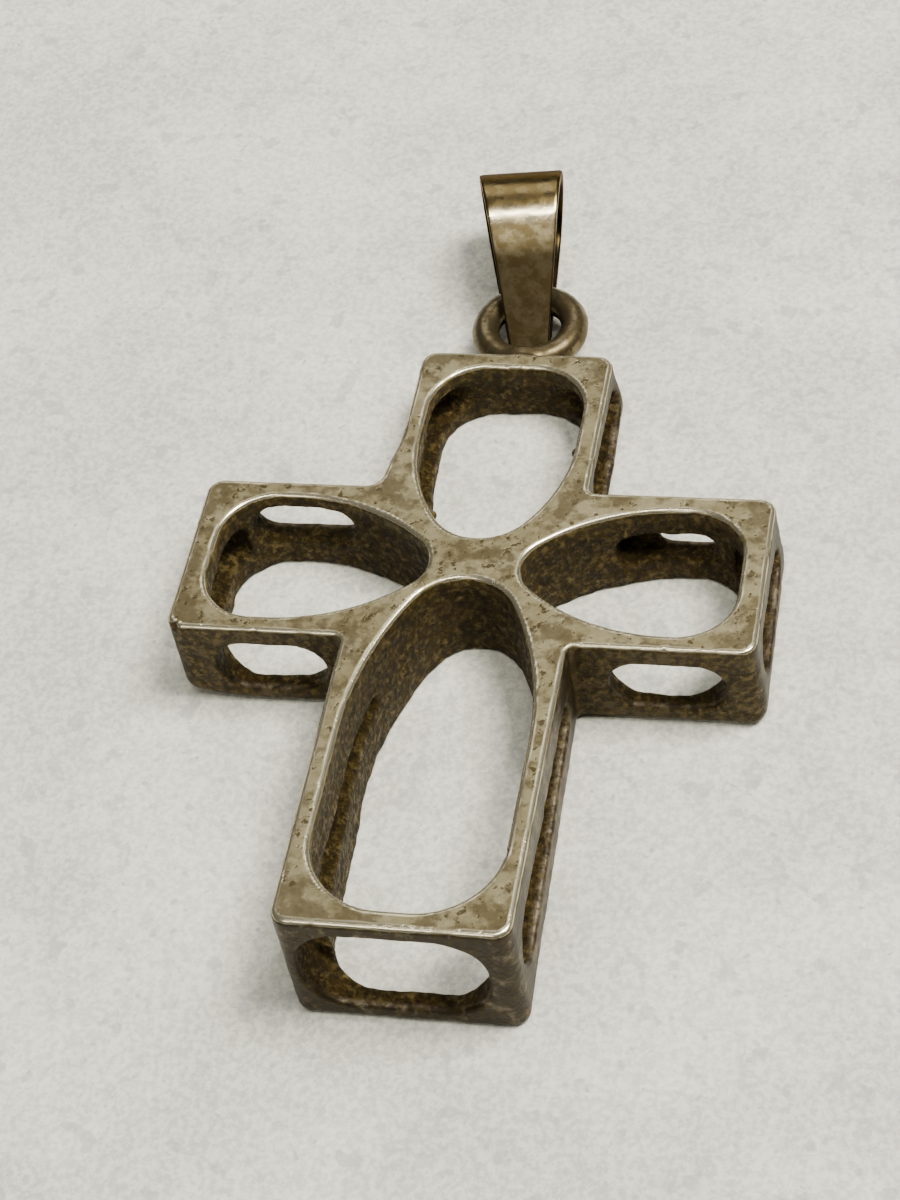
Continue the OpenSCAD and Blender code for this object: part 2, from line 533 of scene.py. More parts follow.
class Effects:
    """The shader node groups of the metal's grain, tarnish and patchy edges, each built once."""

    def __init__(self) -> None:
        """Builds the three groups."""
        self.cast_grain = self.build_cast_grain()
        self.tarnish = self.build_tarnish()
        self.patchy_edges = self.build_patchy_edges()

    def start(
        self, name: str, inputs: tuple[str, ...], outputs: tuple[str, ...]
    ) -> tuple[Tree, bpy.types.NodeOutputs]:
        """Starts a shader group with a place and some numbers.

        Args:
            name: the group's name.
            inputs: names of its number inputs.
            outputs: names of its outputs.

        Returns:
            The group's tree, and the sockets of its inputs.
        """
        wanted = {"Place": Socket.VECTOR, **{label: Socket.NUMBER for label in inputs}}
        tree = Tree(new_group(name, "ShaderNodeTree", wanted, {label: Socket.NUMBER for label in outputs}))
        return tree, tree.node("NodeGroupInput").outputs

    def build_cast_grain(self) -> bpy.types.NodeTree:
        """Rough cast skin: its height, and the small flecks where its grains catch the light.

        Returns:
            The shader group.
        """
        t, given = self.start("cast_grain", ("Grain", "Seed"), ("Height", "Fleck"))
        lumps = t.noise(given["Place"], given["Grain"], given["Seed"], 5.0)
        t.node("NodeGroupOutput", {"Height": t.step(lumps, 0.25, 0.75), "Fleck": t.step(lumps, 0.44, 0.64)})
        return t.tree

    def build_tarnish(self) -> bpy.types.NodeTree:
        """Soft-edged spots that cover a share of the surface, and a slow change of hue.

        Returns:
            The shader group.
        """
        t, given = self.start("tarnish", ("Size", "Share", "Softness", "Seed"), ("Mask", "Hue"))
        cloud = t.noise(given["Place"], given["Size"], given["Seed"], 4.0)
        edge = t.less(0.68, t.times(given["Share"], 0.36))
        low = t.less(edge, given["Softness"])
        slow = t.noise(given["Place"], t.times(given["Size"], 2.6), given["Seed"], 1.0)
        mask = t.step(cloud, low, t.math("ADD", edge, given["Softness"]))
        t.node("NodeGroupOutput", {"Mask": mask, "Hue": t.step(slow, 0.38, 0.62)})
        return t.tree

    def build_patchy_edges(self) -> bpy.types.NodeTree:
        """An edge broken up in patches: rubbed bright on the cross, painted shade on the bail.

        Returns:
            The shader group.
        """
        t, given = self.start("patchy_edges", ("Edge", "Grain", "Seed"), ("Mask",))
        patches = t.noise(given["Place"], given["Grain"], given["Seed"], 2.0)
        worn = t.times(given["Edge"], t.less(t.times(patches, 3.6), 0.8))
        t.node("NodeGroupOutput", {"Mask": t.step(worn, 0.15, 0.75)})
        return t.tree


# Finishes


@dataclass(frozen=True)
class CastSilver:
    """The cross's finish: satin silver on the face, brown rough casting on the walls, bright edges."""

    name: str = "cast_silver"
    satin: Colour = (0.38, 0.33, 0.19)
    satin_deep: Colour = (0.24, 0.197, 0.10)
    stain: Colour = (0.044, 0.027, 0.007)
    bright: Colour = (0.66, 0.585, 0.39)
    ring: Colour = (0.19, 0.152, 0.082)
    hollow: Colour = (0.045, 0.0275, 0.002)
    ochre: Colour = (0.205, 0.146, 0.048)
    pit: Colour = (0.016, 0.0095, 0.0008)
    rust: Colour = (0.095, 0.042, 0.007)
    outer: Colour = (0.022, 0.015, 0.008)
    outer_grey: Colour = (0.15, 0.12, 0.076)
    specular: float = 0.25
    relief: float = 0.1
    # How much of the narrow rails, the broad places and the ring lies under clouds of tarnish
    narrow_share: float = 0.37
    broad_share: float = 0.8
    ring_share: float = 0.55
    # How strongly stains, crust, rust, dirt, pits and hollows tint the metal
    stain_strength: float = 0.85
    crust_strength: Pair = (0.35, 0.85)
    rust_strength: float = 0.15
    dirt_strength: float = 0.75
    pit_strength: Pair = (0.75, 0.5)
    hollow_strength: float = 0.6
    # Share of bare metal: clean and stained satin, inner and outer walls, and rubbed edges
    satin_metal: Pair = (1.0, 0.7)
    wall_metal: Pair = (0.2, 0.5)
    rubbed_metal: float = 0.92
    # Roughness: clean and stained satin and ring, the walls' ground and flecks, and rubbed edges
    satin_rough: Pair = (0.38, 0.5)
    ring_rough: Pair = (0.25, 0.38)
    wall_rough: Pair = (0.68, 0.45)
    outer_rough: float = 0.45
    rubbed_rough: float = 0.23
    # How strongly the grain stands out on inner and outer walls, and how deep specks sink into the face
    grain_relief: Pair = (2.6, 0.5)
    speck_relief: float = -0.18

    def build(self, effects: Effects) -> bpy.types.Material:
        """Builds the material.

        Args:
            effects: the shared node groups.

        Returns:
            The material.
        """
        made, t, shader = new_material(self.name)
        shader["Specular IOR Level"].default_value = self.specular
        place = t.node("ShaderNodeTexCoord").outputs["Object"]
        face, edge, outer, dip = (t.mask(name) for name in ("face", "edge", "outer", "dip"))
        broad, ring, cast = (t.mask(name) for name in ("broad", "ring", "cast"))

        grain = t.effect(effects.cast_grain, place, Grain=0.33, Seed=0.2)
        share = t.mix(ring, t.mix(broad, self.narrow_share, self.broad_share), self.ring_share)
        clouds = t.effect(effects.tarnish, place, Size=0.85, Share=share, Softness=0.1, Seed=0.5)
        specks = t.effect(effects.tarnish, place, Size=0.45, Share=0.2, Softness=0.03, Seed=0.8)
        pits = t.effect(effects.tarnish, place, Size=0.5, Share=0.42, Softness=0.04, Seed=0.9)
        edge_patches = t.effect(effects.patchy_edges, place, Edge=edge, Grain=1.5, Seed=0.4)["Mask"]

        satin = t.tint(t.mix(0.55, clouds["Hue"], grain["Height"]), self.satin, self.satin_deep)
        satin = t.tint(ring, satin, self.ring)
        deep = t.times(clouds["Mask"], t.mix(grain["Height"], 0.95, 0.6))
        stains = t.most(deep, specks["Mask"])
        satin = t.tint(t.times(stains, self.stain_strength), satin, self.stain)

        crust = t.times(grain["Fleck"], t.mix(clouds["Mask"], *self.crust_strength))
        inner = t.tint(crust, self.hollow, self.ochre)
        inner = t.tint(t.times(t.step(clouds["Hue"], 0.9, 1.0), self.rust_strength), inner, self.rust)
        rail = t.tint(clouds["Mask"], self.outer_grey, self.outer)
        dirt = t.times(t.most(specks["Mask"], grain["Fleck"]), self.dirt_strength)
        rail = t.tint(dirt, rail, self.hollow)
        walls = t.tint(outer, inner, rail)
        walls = t.tint(t.times(pits["Mask"], t.mix(outer, *self.pit_strength)), walls, self.pit)
        walls = t.tint(t.times(dip, self.hollow_strength), walls, self.hollow)

        colour = t.tint(face, walls, satin)
        colour = t.tint(edge_patches, colour, self.bright)
        t.feed(shader["Base Color"], colour)

        metal = t.mix(face, t.mix(outer, *self.wall_metal), t.mix(stains, *self.satin_metal))
        t.feed(shader["Metallic"], t.mix(edge_patches, metal, self.rubbed_metal))
        gritty = t.mix(outer, t.mix(grain["Fleck"], *self.wall_rough), self.outer_rough)
        smooth = t.mix(ring, t.mix(stains, *self.satin_rough), t.mix(stains, *self.ring_rough))
        t.feed(shader["Roughness"], t.mix(edge_patches, t.mix(face, gritty, smooth), self.rubbed_rough))

        relief = t.times(t.less(grain["Height"], 0.5), t.mix(outer, *self.grain_relief))
        relief = t.times(relief, cast)
        sunk = t.times(specks["Mask"], t.mix(t.most(edge, ring), self.speck_relief, 0.0))
        height = t.mix(t.most(face, edge), relief, sunk)
        t.feed(shader["Normal"], t.bump(height, self.relief))
        return made


@dataclass(frozen=True)
class StripSilver:
    """The bail's finish: smooth strip under thin brown tarnish, with a painted highlight over the crown and
    painted shade.
    """

    name: str = "strip_silver"
    # The first colour is a painted highlight over the crown, and dark is the painted shade on the foot, the
    # crown's far end, the inside and the edges
    painted_highlight: Colour = (0.92, 0.80, 0.52)
    clean: Colour = (0.40, 0.33, 0.185)
    brown: Colour = (0.17, 0.12, 0.045)
    dark: Colour = (0.011, 0.0065, 0.001)
    grazing: Colour = (0.5, 0.4, 0.28)
    specular: float = 0.25
    relief: float = 0.035
    # Between which shares of the way from foot to crown each thing comes or goes, the painted highlight and
    # painted shade included
    foot_shade_goes: Pair = (0.46, 0.68)
    highlight_comes: Pair = (0.62, 0.69)
    highlight_goes: Pair = (0.69, 0.735)
    brown_and_shade_comes: Pair = (0.70, 0.745)
    crown_shade_comes: Pair = (0.86, 0.97)
    # How strongly the painted shade darkens the foot and the crown's far end, the inside of the loop and the
    # edges
    painted_shade_strength: float = 0.92
    hollow_strength: float = 0.9
    edge_strength: float = 0.6
    # Share of bare metal, clean and under the painted shade, and roughness, clean, stained and under the
    # painted shade
    metal: Pair = (1.0, 0.65)
    rough: Pair = (0.18, 0.28)
    painted_shade_rough: float = 0.5

    def build(self, effects: Effects) -> bpy.types.Material:
        """Builds the material.

        Args:
            effects: the shared node groups.

        Returns:
            The material.
        """
        made, t, shader = new_material(self.name)
        shader["Specular IOR Level"].default_value = self.specular
        shader["Specular Tint"].default_value = (*self.grazing, 1)
        place = t.node("ShaderNodeTexCoord").outputs["Object"]
        edge, hollow, along = (t.mask(name) for name in ("edge", "hollow", "along"))
        clouds = t.effect(effects.tarnish, place, Size=0.8, Share=0.55, Softness=0.09, Seed=0.3)
        grain = t.effect(effects.cast_grain, place, Grain=0.45, Seed=0.6)
        # Patches along the strip's edges, which are darkened below as painted shade
        edge_patches = t.effect(effects.patchy_edges, place, Edge=edge, Grain=0.8, Seed=0.7)["Mask"]

        stains = t.most(t.times(clouds["Mask"], 0.8), t.times(grain["Fleck"], 0.5))
        colour = t.tint(stains, self.clean, self.brown)
        # A band over the crown is painted bright: a painted highlight where the strip mirrors the lamp
        # overhead
        crown = t.times(t.step(along, *self.highlight_comes), t.less(1.0, t.step(along, *self.highlight_goes)))
        colour = t.tint(t.times(crown, t.mix(stains, 1.0, 0.55)), colour, self.painted_highlight)
        # Past the band the strip is tinted brown: partly tarnish, partly painted shade where it mirrors the
        # dark room
        brown_and_shade_past_band = t.times(t.step(along, *self.brown_and_shade_comes), t.mix(grain["Height"], 0.95, 0.5))
        colour = t.tint(brown_and_shade_past_band, colour, self.brown)
        # Painted shade: the leg near the foot and the crown's far end are darkened where the strip mirrors
        # dark parts of the room
        foot_shade = t.less(1.0, t.step(along, *self.foot_shade_goes))
        painted_shade = t.most(foot_shade, t.step(along, *self.crown_shade_comes))
        colour = t.tint(t.times(painted_shade, self.painted_shade_strength), colour, self.dark)
        # Painted shade inside the loop
        colour = t.tint(t.times(hollow, self.hollow_strength), colour, self.dark)
        # Painted shade along the strip's edges, in patches
        colour = t.tint(t.times(edge_patches, self.edge_strength), colour, self.dark)
        t.feed(shader["Base Color"], colour)
        # The metal is duller and rougher under the painted shade
        t.feed(shader["Metallic"], t.mix(painted_shade, *self.metal))
        t.feed(shader["Roughness"], t.mix(painted_shade, t.mix(stains, *self.rough), self.painted_shade_rough))
        dents = t.noise(place, 1.4, 0.1, 1.0)
        height = t.less(dents, t.times(grain["Fleck"], 0.06))
        t.feed(shader["Normal"], t.bump(height, self.relief))
        return made


# The cross


@dataclass(frozen=True)
class Curves:
    """The length of a front window's arch, and the radii of its tip and of its square end's corners."""

    arch: float
    tip_r: float
    corner: float


@dataclass(frozen=True)
class FrontWindow:
    """A front window with a rounded square end and a three-centred arch.

    The square end's middle is at (x, y), and the arch points along turn, in degrees from +y.
    """

    x: float
    y: float
    turn: float
    width: float
    length: float
    curves: Curves

    def distance(self, x: np.ndarray, y: np.ndarray) -> np.ndarray:
        """Signed distance to the window's outline.

        Args:
            x, y: place on the front face.

        Returns:
            The signed distance, negative inside the window.
        """
        c, s = math.cos(math.radians(self.turn)), math.sin(math.radians(self.turn))
        u = np.abs((x - self.x) * c + (y - self.y) * s)
        v = (y - self.y) * c - (x - self.x) * s
        half = self.width / 2
        tip_r = self.curves.tip_r
        spring = self.length - self.curves.arch
        rise = self.curves.arch - tip_r
        side_r = (half * half + rise * rise - tip_r**2) / (2 * (half - tip_r))
        square = rounded_cut(u - half, -v, self.curves.corner)
        from_u, from_v = u + side_r - half, v - spring
        side = np.hypot(from_u, from_v) - side_r
        at_tip = (side_r - half) * from_v - rise * from_u > 0
        arch = np.where(at_tip, np.hypot(u, v - spring - rise) - tip_r, side)
        return np.where(v < spring, square, arch)


@dataclass(frozen=True)
class ArmWindow:
    """A side window in a long wall of an arm.

    side is -1 for the left arm and 1 for the right one. The window runs from low to high, away from the
    middle of the cross, and from front to back below the face. A blind one is only a pocket in the wall's
    inner side.
    """

    side: int
    wall: Wall
    low: float
    high: float
    front: float
    back: float
    corner: float
    blind: bool = False

    def distance(self, x: np.ndarray, z: np.ndarray) -> np.ndarray:
        """Signed distance to the window's outline, seen along y.

        Args:
            x, z: place on the wall.

        Returns:
            The signed distance, negative inside the window.
        """
        along = self.side * x - (self.low + self.high) / 2
        depth = z + (self.front + self.back) / 2
        return bar(along, depth, (self.high - self.low) / 2, (self.back - self.front) / 2, self.corner)


@dataclass(frozen=True)
class Nick:
    """A small mark: a ball about (x, y, z) that takes metal away or adds it."""

    x: float
    y: float
    z: float
    radius: float
    mark: Mark = Mark.DENT
    fillet: float = 0.12
    edge_r: float = 0.08

    def apply(self, solid: np.ndarray, x: np.ndarray, y: np.ndarray, z: np.ndarray) -> np.ndarray:
        """Makes the mark on a shape.

        Args:
            solid: signed distances to the shape.
            x, y, z: place.

        Returns:
            The signed distances to the marked shape.
        """
        ball = np.sqrt((x - self.x) ** 2 + (y - self.y) ** 2 + (z - self.z) ** 2) - self.radius
        if self.mark is Mark.BUMP:
            return filleted_join(solid, ball, self.fillet)
        return rounded_cut(solid, -ball, self.edge_r)


@dataclass(frozen=True)
class JumpRing:
    """The closed ring on the top end, in round wire, with its blob of solder."""

    wire_d: float = 1.4
    ring_d: float = 6.0
    depth: float = 1.15
    sink: float = 0.1
    solder_r: float = 0.85
    fillet: float = 0.4

    def join(self, solid: np.ndarray, x: np.ndarray, y: np.ndarray, z: np.ndarray) -> np.ndarray:
        """Solders the ring to a shape.

        Args:
            solid: signed distances to the shape.
            x, y, z: place, with y from the top end.

        Returns:
            The signed distances to both.
        """
        wire = self.wire_d / 2
        radius = self.ring_d / 2 - wire
        loop = np.hypot(np.hypot(x, y - wire + self.sink - radius) - radius, z + self.depth) - wire
        solder = np.maximum(np.hypot(x, z + self.depth) - self.solder_r, np.abs(y) - wire)
        return filleted_join(filleted_join(solid, solder, self.fillet), loop, self.fillet)


@dataclass(frozen=True)
class CastSkin:
    """Uneven skin of a casting: low waves on its walls and almost none on its polished face.

    Depths and grains are in millimetres. The depths are multiplied by spread, since noise seldom leaves the
    middle quarter of its range.
    """

    wall_depth: float = 0.07
    face_depth: float = 0.012
    grain: float = 1.2
    seed: float = 0.3
    spread: float = 4.0

    def group(self) -> bpy.types.NodeTree:
        """The geometry nodes that move each point along its normal.

        Returns:
            The geometry group.
        """
        sizes = {name: Socket.NUMBER for name in ("Wall depth", "Face depth", "Grain", "Seed")}
        inputs = {"Geometry": Socket.GEOMETRY, **sizes, "Material": Socket.MATERIAL}
        t = Tree(new_group("cast_skin", "GeometryNodeTree", inputs, {"Geometry": Socket.GEOMETRY}))
        given = t.node("NodeGroupInput").outputs
        place = t.node("GeometryNodeInputPosition").outputs[0]
        coarse = t.noise(place, given["Grain"], given["Seed"], 2.0)
        cast = t.node("GeometryNodeInputNamedAttribute", {"Name": "cast"}, data_type="FLOAT")
        depth = t.mix(cast.outputs["Attribute"], given["Face depth"], given["Wall depth"])
        lift = t.times(t.less(coarse, 0.5), depth)
        normal = t.node("GeometryNodeInputNormal").outputs[0]
        push = t.node("ShaderNodeVectorMath", {0: normal, "Scale": lift}, operation="SCALE")
        t.end(given["Geometry"], push.outputs[0], given["Material"])
        return t.tree

    def apply(self, obj: bpy.types.Object, finish: bpy.types.Material) -> bpy.types.Object:
        """Roughens an object's skin and gives it its finish.

        Args:
            obj: the smooth object.
            finish: its material.

        Returns:
            The new object.
        """
        values = {
            "Wall depth": self.spread * self.wall_depth * MM,
            "Face depth": self.spread * self.face_depth * MM,
            "Grain": self.grain,
            "Seed": self.seed,
            "Material": finish,
        }
        return run_nodes(obj, self.group(), values)


@dataclass(frozen=True)
class Cross:
    """The cast cross with its jump ring."""

    node: str = "cross_frame"
    slot: str = "cross_silver"
    width: float = 28.0
    height: float = 35.0
    stem_w: float = 10.7
    top_w: float = 9.8
    arm_h: float = 9.6
    arm_y: float = 16.1
    bottom_thk: float = 7.2
    top_thk: float = 3.3
    corner_r: float = 0.8
    end_wall: float = 1.05
    side_wall: float = 0.95
    arm_wall: float = 1.0
    tip_gap: float = 2.1
    stem_tip_y: float = 19.9
    top_tip_y: float = 22.6
    stem_rim: float = 1.95
    left_stem_rim: float = 2.5
    end_rim: float = 1.4
    top_rim: float = 0.9
    stem_curves: Curves = Curves(9.3, 2.7, 3.7)
    deep_curves: Curves = Curves(9.3, 2.7, 2.6)
    top_curves: Curves = Curves(6.4, 2.7, 2.8)
    arm_curves: Curves = Curves(7.2, 1.75, 2.7)
    # Small ways in which the hand-made front windows leave their even layout
    stem_shift: float = 0.03
    stem_narrower: float = 0.06
    top_shift: float = -0.06
    top_narrower: float = 0.12
    arm_shorter: float = 0.2
    right_shorter: float = 0.35
    right_lower: float = 0.05
    # Heights between which each pair of slots runs
    stem_slot: Pair = (1.35, 14.6)
    top_slot: Pair = (26.3, 33.9)
    end_slot: Pair = (17.6, 24.2)
    # The bottom end's window: its middle, half its width, half its height and its corner's radius
    foot_window: tuple[float, float, float, float] = (-0.3, 4.3, 2.65, 2.3)
    # How far a side window's cutter reaches past its wall, and a blind one's past its pocket
    cut_reach: float = 0.9
    blind_reach: float = 0.65
    # Radii of the worn edges, with what the front one gains at the bottom end
    front_edge_r: float = 0.23
    foot_wear: float = 0.07
    rim_edge_r: float = 0.23
    slot_edge_r: float = 0.2
    # The back edge: its radius past the least one, and the share of it that the bottom end keeps
    back_edge_r: float = 0.5
    least_back_edge_r: float = 0.15
    foot_back_share: float = 0.55
    # What the back edge gains at the left arm's lower corner, and the area that this fades over
    corner_wear: float = 0.6
    corner_wear_area: float = 3.0
    # The fillet between stem and arms, what its upper left one gains, and how far the top arm's left side
    # runs out into the left arm
    arm_fillet: float = 0.35
    left_fillet: float = 0.35
    root_flare: float = 0.5
    # Up to which distance from a window the back edge is sharp, and from which on it is fully worn
    rail_edge: Pair = (0.2, 0.8)
    # Depth and width of the polished fall of the face towards each window
    dish_depth: float = 0.045
    dish_width: float = 0.4
    # Metal by which the windows' upper walls and the right-hand ends grow towards the back, and how much of
    # the first the stem's left and upper walls have
    wall_swell: float = 0.4
    stem_swell: Pair = (0.5, 0.6)
    end_flare: float = 0.2
    top_flare: float = 0.28
    # Where these changes begin and are complete: depths below the face, or shares of the thickness
    swell_depth: Pair = (0.8, 4.5)
    curves_depth: Pair = (0.4, 1.6)
    flare_depth: Pair = (0.1, 0.8)
    # The same, as places across the cross
    end_flare_x: Pair = (11.0, 13.5)
    top_flare_x: Pair = (2.5, 4.5)
    root_flare_x: Pair = (-2.5, -4.5)
    left_fillet_x: Pair = (-3.0, -4.0)
    stem_swell_x: Pair = (0.0, -2.0)
    # The same, as heights, and the height over which a change of the arms' upper half fades in
    stem_swell_y: Pair = (12.0, 18.0)
    root_flare_y: Pair = (29.5, 25.7)
    foot_wear_y: Pair = (0.9, 0.2)
    back_edge_y: Pair = (0.5, 4.0)
    arm_fade: float = 3.0
    step: float = 0.14
    ring: JumpRing = JumpRing()
    skin: CastSkin = CastSkin()
    arm_windows: tuple[ArmWindow, ...] = (
        ArmWindow(-1, Wall.LOWER, 6.5, 11.9, 1.15, 4.35, 1.55),
        ArmWindow(1, Wall.LOWER, 7.0, 12.5, 1.25, 4.25, 1.45),
        ArmWindow(-1, Wall.UPPER, 6.6, 11.9, 0.9, 2.95, 1.0),
        ArmWindow(1, Wall.UPPER, 8.2, 11.2, 1.7, 3.15, 0.7),
        ArmWindow(1, Wall.UPPER, 6.3, 9.0, 1.6, 3.2, 0.75, blind=True),
    )
    nicks: tuple[Nick, ...] = (
        Nick(-2.6, 24.3, -0.6, 0.26, Mark.BUMP),
        Nick(3.85, 28.7, -0.55, 0.24, Mark.BUMP),
        Nick(4.2, 4.5, -0.1, 0.32),
        Nick(-13.75, 15.95, 0.05, 0.5),
        Nick(-9.6, 15.95, 0.0, 0.22),
        Nick(9.9, 15.95, 0.05, 0.25),
    )

    @property
    def tilt(self) -> float:
        """Slope of the front face once the back lies flat, in radians."""
        return math.atan((self.bottom_thk - self.top_thk) / self.height)

    @property
    def arm_middle(self) -> float:
        """Height of the arms' middle line."""
        return self.arm_y + self.arm_h / 2

    def above_arms(self, y: np.ndarray) -> np.ndarray:
        """Rises from 0 to 1 over the arms' upper half."""
        return ease(y, self.arm_middle, self.arm_middle + self.arm_fade)

    def thickness(self, y: np.ndarray | float) -> np.ndarray | float:
        """Thickness of the cross at a height above its bottom end."""
        return self.bottom_thk - (self.bottom_thk - self.top_thk) * y / self.height

    def windows(self) -> list[FrontWindow]:
        """The front windows: stem, the same behind the face, top arm, left arm and right arm.

        Returns:
            The five windows in that order.
        """
        foot, top, middle = self.end_wall, self.height - self.end_wall, self.arm_middle
        reach = self.width / 2 - self.end_wall - self.arm_shorter
        stem_wide = self.stem_w - 2 * self.side_wall - self.stem_narrower
        top_wide = self.top_w - 2 * self.side_wall - self.top_narrower
        arm_wide = self.arm_h - 2 * self.arm_wall
        stem_long, arm_long = self.stem_tip_y - foot, reach - self.tip_gap
        right_y, right_long = middle - self.right_lower, arm_long - self.right_shorter
        return [
            FrontWindow(self.stem_shift, foot, 0, stem_wide, stem_long, self.stem_curves),
            FrontWindow(self.stem_shift, foot, 0, stem_wide, stem_long, self.deep_curves),
            FrontWindow(self.top_shift, top, 180, top_wide, top - self.top_tip_y, self.top_curves),
            FrontWindow(-reach, middle, -90, arm_wide, arm_long, self.arm_curves),
            FrontWindow(reach, right_y, 90, arm_wide, right_long, self.arm_curves),
        ]

    def windows_distance(self, x: np.ndarray, y: np.ndarray, z: np.ndarray) -> np.ndarray:
        """Signed distance to the nearest front window, whose far and left walls lean in towards the back.

        Args:
            x, y, z: place.

        Returns:
            The signed distance, negative inside a window.
        """
        lean = self.wall_swell * ease(-z, *self.swell_depth)
        stem, stem_behind, top, left, right = self.windows()
        arm_y = y + lean * self.above_arms(y)
        share_x, share_y = self.stem_swell
        stem_x = x - share_x * lean * ease(x, *self.stem_swell_x)
        stem_y = y + share_y * lean * ease(y, *self.stem_swell_y)
        behind = ease(-z, *self.curves_depth)
        long = stem.distance(stem_x, stem_y) * (1 - behind) + stem_behind.distance(stem_x, stem_y) * behind
        found = np.minimum(left.distance(x, arm_y), right.distance(x, arm_y))
        return np.minimum(found, np.minimum(long, top.distance(stem_x, y)))

    def outline(self, x: np.ndarray, y: np.ndarray, z: np.ndarray) -> np.ndarray:
        """Signed distance to the cross's outline, whose right-hand ends flare towards the back.

        Args:
            x, y, z: place.

        Returns:
            The signed distance, negative inside.
        """
        behind = ease(-z / self.thickness(y), *self.flare_depth)
        middle = self.arm_middle
        end_x = x - self.end_flare * ease(x, *self.end_flare_x) * behind
        top_x = x - self.top_flare * ease(x, *self.top_flare_x) * behind
        top_x = top_x + self.root_flare * ease(x, *self.root_flare_x) * ease(y, *self.root_flare_y)
        stem = bar(x, y - middle / 2, self.stem_w / 2, middle / 2, self.corner_r)
        top_half = (self.height - self.arm_y) / 2
        top = bar(top_x, y - self.arm_y - top_half, self.top_w / 2, top_half, self.corner_r)
        arms = bar(end_x, y - middle, self.width / 2, self.arm_h / 2, self.corner_r)
        fillet = self.arm_fillet + self.left_fillet * ease(x, *self.left_fillet_x) * self.above_arms(y)
        return filleted_join(np.minimum(stem, top), arms, fillet)

    def long_slot(self, y: np.ndarray, z: np.ndarray, low: float, high: float, edge: float) -> np.ndarray:
        """Signed distance to a side window that narrows as the cross gets thinner.

        Args:
            y, z: place seen from the side.
            low, high: heights of the slot's ends.
            edge: metal left in front of the slot and behind it.

        Returns:
            The signed distance, negative inside the slot.
        """
        r1 = self.thickness(low) / 2 - edge
        r2 = self.thickness(high) / 2 - edge
        y1, y2 = low + r1, high - r2
        z1, z2 = -self.thickness(y1) / 2, -self.thickness(y2) / 2
        length = math.hypot(y2 - y1, z2 - z1)
        c, s = (y2 - y1) / length, (z2 - z1) / length
        return taper((y - y1) * c + (z - z1) * s, (z - z1) * c - (y - y1) * s, length, r1, r2)

    def side_windows(self, x: np.ndarray, y: np.ndarray, z: np.ndarray) -> list[np.ndarray]:
        """Signed distances to the side windows, each kept to the wall that it pierces.

        Args:
            x, y, z: place.

        Returns:
            The signed distances, negative inside a window.
        """
        end_depth = self.width / 2 - self.end_wall - self.cut_reach
        left = self.long_slot(y, z, *self.stem_slot, self.left_stem_rim)
        right = self.long_slot(y, z, *self.stem_slot, self.stem_rim)
        found = [np.where(x < 0, left, right), self.long_slot(y, z, *self.top_slot, self.top_rim)]
        found.append(np.maximum(self.long_slot(y, z, *self.end_slot, self.end_rim), end_depth - np.abs(x)))
        for window in self.arm_windows:
            inward = -1 if window.wall is Wall.UPPER else 1
            wall_y = self.arm_y + (self.arm_h if window.wall is Wall.UPPER else 0)
            middle = wall_y + inward * (self.arm_wall + self.cut_reach) if window.blind else wall_y
            deep = self.cut_reach + (self.blind_reach if window.blind else self.arm_wall)
            found.append(np.maximum(window.distance(x, z), np.abs(y - middle) - deep))
        foot_x, *foot_sizes = self.foot_window
        foot = bar(x - foot_x, z + self.thickness(0) / 2, *foot_sizes)
        found.append(np.maximum(foot, y - self.end_wall - self.cut_reach))
        return found

    def body(self, x: np.ndarray, y: np.ndarray, z: np.ndarray) -> np.ndarray:
        """Signed distance to the cross without its ring.

        Args:
            x, y, z: place.

        Returns:
            The signed distance, negative inside.
        """
        windows = self.windows_distance(x, y, z)
        outline = self.outline(x, y, z)
        fall = self.dish_depth * (1 - np.clip(windows / self.dish_width, 0, 1)) ** 2
        back = -(z + self.thickness(y)) * math.cos(self.tilt)
        # The back edge is sharper near the bottom end and worn most at the left arm's lower corner
        corner = np.exp(-((x + self.width / 2) ** 2 + (y - self.arm_y) ** 2) / self.corner_wear_area)
        sharper = self.foot_back_share + (1 - self.foot_back_share) * ease(y, *self.back_edge_y)
        back_r = self.back_edge_r * sharper + self.corner_wear * corner
        front_r = self.front_edge_r + self.foot_wear * ease(y, *self.foot_wear_y)
        solid = rounded_cut(outline, z + fall, front_r)
        solid = rounded_cut(solid, back, back_r * ease(windows, *self.rail_edge) + self.least_back_edge_r)
        solid = rounded_cut(solid, -windows, self.rim_edge_r)
        for slot in self.side_windows(x, y, z):
            solid = rounded_cut(solid, -slot, self.slot_edge_r)
        return solid

    def distance(self, x: np.ndarray, y: np.ndarray, z: np.ndarray) -> np.ndarray:
        """Signed distance to the whole casting, with its ring soldered on and its nicks.

        Args:
            x, y, z: place.

        Returns:
            The signed distance, negative inside.
        """
        solid = self.ring.join(self.body(x, y, z), x, y - self.height, z)
        for nick in self.nicks:
            solid = nick.apply(solid, x, y, z)
        return solid

    def lay_down(self, points: np.ndarray) -> np.ndarray:
        """Points of the front face's frame, moved to the cross that lies on its back.

        Args:
            points: places in the front face's frame.

        Returns:
            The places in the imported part's frame, in millimetres.
        """
        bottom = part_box(self.node)[0].y / MM
        c, s = math.cos(self.tilt), math.sin(self.tilt)
        z = points[:, 2] + self.bottom_thk
        return np.stack([points[:, 0], points[:, 1] * c + z * s + bottom, z * c - points[:, 1] * s], axis=1)

